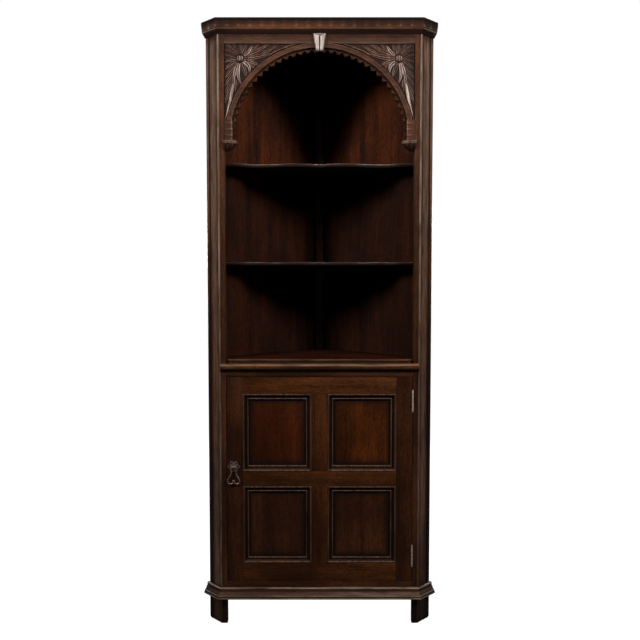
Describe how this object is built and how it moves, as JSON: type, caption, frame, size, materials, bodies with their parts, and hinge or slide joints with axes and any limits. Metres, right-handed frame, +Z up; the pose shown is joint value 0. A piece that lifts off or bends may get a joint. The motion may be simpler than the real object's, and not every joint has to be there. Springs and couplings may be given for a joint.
{
  "type": "corner cupboard",
  "caption": "Free-standing corner cupboard in dark oak: open arched upper part with shaped shelves over a panelled door cupboard, on canted front feet.",
  "frame": {"origin": "middle of the bounding box at floor level", "axes": "+Z up, -Y the front with the door and the open shelves, +Y the back corner, +X the hinged side of the door"},
  "size_m": [0.7208, 0.4026, 1.83],
  "materials": {
    "oak_case": "dark stained oak with a worn satin polish",
    "oak_carved": "dark stained oak, carved, with rubbed high points",
    "oak_inside": "dark reddish stain with little sheen",
    "oak_door": "dark stained oak with a satin polish",
    "oak_panel": "reddish brown stained oak with a satin polish",
    "brass": "dull aged brass",
    "bronze": "dark bronzed, rubbed at the edges",
    "steel": "plain"
  },
  "bodies": {
    "carcass": {"top_board": "oak_case", "cornice_front": "oak_case", "cornice_left": "oak_case", "cornice_right": "oak_case", "arch_board": "oak_carved", "keystone": "oak_carved", "corbel_left": "oak_carved", "corbel_right": "oak_carved", "canted_post_left": "oak_case", "canted_post_right": "oak_case", "rear_post": "oak_inside", "back_board_left": "oak_inside", "back_board_right": "oak_inside", "upper_shelf": "oak_case", "middle_shelf": "oak_case", "waist_board": "oak_case", "waist_rail": "oak_case", "waist_moulding": "oak_case", "cupboard_shelf": "oak_inside", "bottom_board": "oak_inside", "bottom_rail": "oak_case", "base_moulding_front": "oak_case", "base_moulding_left": "oak_case", "base_moulding_right": "oak_case", "hinge_upper_post_leaf": "brass", "hinge_lower_post_leaf": "brass", "hinge_upper_pin": "brass", "hinge_lower_pin": "brass", "catch_case": "steel"},
    "door": {"door_stile_left": "oak_door", "door_stile_right": "oak_door", "door_top_rail": "oak_door", "door_middle_rail": "oak_door", "door_bottom_rail": "oak_door", "door_muntin_upper": "oak_door", "door_muntin_lower": "oak_door", "panel_upper_left": "oak_panel", "panel_upper_right": "oak_panel", "panel_lower_left": "oak_panel", "panel_lower_right": "oak_panel", "panel_moulding_upper_left": "oak_door", "panel_moulding_upper_right": "oak_door", "panel_moulding_lower_left": "oak_door", "panel_moulding_lower_right": "oak_door", "hinge_upper_door_leaf": "brass", "hinge_lower_door_leaf": "brass", "handle_plate": "bronze", "handle_post": "bronze", "handle_pin": "bronze", "handle_nut": "steel", "strike_plate": "steel"},
    "handle_drop": {"handle_drop": "bronze"}
  },
  "joints": [
    {"name": "door_hinge", "type": "hinge", "parent": "carcass", "child": "door", "pos_m": [0.28325, -0.1838, 0], "axis": [0, 0, 1], "range_deg": [0, 110]},
    {"name": "handle_pivot", "type": "hinge", "parent": "door", "child": "handle_drop", "pos_m": [-0.26195, -0.18785, 0.4895], "axis": [-1, 0, 0], "range_deg": [0, 75]}
  ]
}
